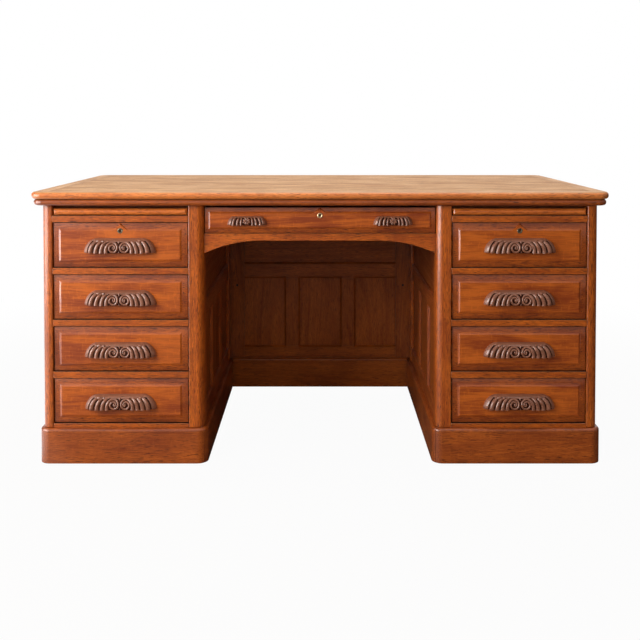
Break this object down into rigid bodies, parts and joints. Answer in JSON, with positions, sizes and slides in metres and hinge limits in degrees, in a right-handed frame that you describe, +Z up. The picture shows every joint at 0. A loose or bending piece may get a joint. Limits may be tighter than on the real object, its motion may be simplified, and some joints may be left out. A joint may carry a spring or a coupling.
{
  "type": "pedestal desk",
  "caption": "Oak pedestal desk: moulded top, drawer pedestals on plinths, writing slides, locking centre drawer over an arched apron, panelled kneehole and carved handles.",
  "frame": {"origin": "on the floor, under the middle of the top", "axes": "+X to the right along the top, the drawers face -Y, +Z up"},
  "size_m": [1.61, 0.84, 0.762],
  "materials": {
    "oak_top": "matt waxed oak",
    "oak_case": "satin waxed oak",
    "oak_panel": "satin waxed oak",
    "oak_drawer_front": "satin waxed oak",
    "carved_oak": "satin dark oak",
    "drawer_lining": "bare pale wood",
    "inner_wood": "bare wood",
    "brass": "aged brass",
    "steel": "dull steel"
  },
  "bodies": {
    "case": {"top_boards": "oak_top", "top_lipping": "oak_case", "top_under_frame": "oak_case", "fixing_screws": "steel", "left_posts": "oak_case", "right_posts": "oak_case", "left_side_frames": "oak_case", "right_side_frames": "oak_case", "left_back_frame": "oak_case", "right_back_frame": "oak_case", "left_panels": "oak_panel", "right_panels": "oak_panel", "left_front_rails": "oak_case", "right_front_rails": "oak_case", "left_runners": "inner_wood", "right_runners": "inner_wood", "left_bottom_and_dust_boards": "inner_wood", "right_bottom_and_dust_boards": "inner_wood", "left_plinth": "oak_case", "right_plinth": "oak_case", "kneehole_back_frame": "oak_case", "kneehole_back_panels": "oak_panel", "kneehole_skirting": "oak_case", "apron": "oak_case", "centre_drawer_runners": "inner_wood"},
    "left_drawer_1": {"left_drawer_1_front": "oak_drawer_front", "left_drawer_1_box": "drawer_lining", "left_drawer_1_handle": "carved_oak", "left_lock": "brass"},
    "left_drawer_2": {"left_drawer_2_front": "oak_drawer_front", "left_drawer_2_box": "drawer_lining", "left_drawer_2_handle": "carved_oak"},
    "left_drawer_3": {"left_drawer_3_front": "oak_drawer_front", "left_drawer_3_box": "drawer_lining", "left_drawer_3_handle": "carved_oak"},
    "left_drawer_4": {"left_drawer_4_front": "oak_drawer_front", "left_drawer_4_box": "drawer_lining", "left_drawer_4_handle": "carved_oak"},
    "left_writing_slide": {"left_writing_slide": "oak_drawer_front"},
    "right_drawer_1": {"right_drawer_1_front": "oak_drawer_front", "right_drawer_1_box": "drawer_lining", "right_drawer_1_handle": "carved_oak", "right_lock": "brass"},
    "right_drawer_2": {"right_drawer_2_front": "oak_drawer_front", "right_drawer_2_box": "drawer_lining", "right_drawer_2_handle": "carved_oak"},
    "right_drawer_3": {"right_drawer_3_front": "oak_drawer_front", "right_drawer_3_box": "drawer_lining", "right_drawer_3_handle": "carved_oak"},
    "right_drawer_4": {"right_drawer_4_front": "oak_drawer_front", "right_drawer_4_box": "drawer_lining", "right_drawer_4_handle": "carved_oak"},
    "right_writing_slide": {"right_writing_slide": "oak_drawer_front"},
    "centre_drawer": {"centre_drawer_front": "oak_drawer_front", "centre_drawer_box": "drawer_lining", "centre_drawer_handles": "carved_oak", "centre_lock": "brass"},
    "left_lock_bolt": {"left_lock_bolt": "steel"},
    "right_lock_bolt": {"right_lock_bolt": "steel"},
    "centre_lock_bolt": {"centre_lock_bolt": "steel"}
  },
  "joints": [
    {"name": "left_drawer_1_slide", "type": "slide", "parent": "case", "child": "left_drawer_1", "axis": [0, -1, 0], "range_m": [0, 0.5]},
    {"name": "left_drawer_2_slide", "type": "slide", "parent": "case", "child": "left_drawer_2", "axis": [0, -1, 0], "range_m": [0, 0.5]},
    {"name": "left_drawer_3_slide", "type": "slide", "parent": "case", "child": "left_drawer_3", "axis": [0, -1, 0], "range_m": [0, 0.5]},
    {"name": "left_drawer_4_slide", "type": "slide", "parent": "case", "child": "left_drawer_4", "axis": [0, -1, 0], "range_m": [0, 0.5]},
    {"name": "left_writing_slide_slide", "type": "slide", "parent": "case", "child": "left_writing_slide", "axis": [0, -1, 0], "range_m": [0, 0.38]},
    {"name": "right_drawer_1_slide", "type": "slide", "parent": "case", "child": "right_drawer_1", "axis": [0, -1, 0], "range_m": [0, 0.5]},
    {"name": "right_drawer_2_slide", "type": "slide", "parent": "case", "child": "right_drawer_2", "axis": [0, -1, 0], "range_m": [0, 0.5]},
    {"name": "right_drawer_3_slide", "type": "slide", "parent": "case", "child": "right_drawer_3", "axis": [0, -1, 0], "range_m": [0, 0.5]},
    {"name": "right_drawer_4_slide", "type": "slide", "parent": "case", "child": "right_drawer_4", "axis": [0, -1, 0], "range_m": [0, 0.5]},
    {"name": "right_writing_slide_slide", "type": "slide", "parent": "case", "child": "right_writing_slide", "axis": [0, -1, 0], "range_m": [0, 0.38]},
    {"name": "centre_drawer_slide", "type": "slide", "parent": "case", "child": "centre_drawer", "axis": [0, -1, 0], "range_m": [0, 0.4]},
    {"name": "left_lock_bolt_throw", "type": "slide", "parent": "left_drawer_1", "child": "left_lock_bolt", "axis": [0, 0, 1], "range_m": [0, 0.007]},
    {"name": "right_lock_bolt_throw", "type": "slide", "parent": "right_drawer_1", "child": "right_lock_bolt", "axis": [0, 0, 1], "range_m": [0, 0.007]},
    {"name": "centre_lock_bolt_throw", "type": "slide", "parent": "centre_drawer", "child": "centre_lock_bolt", "axis": [0, 0, 1], "range_m": [0, 0.013]}
  ]
}
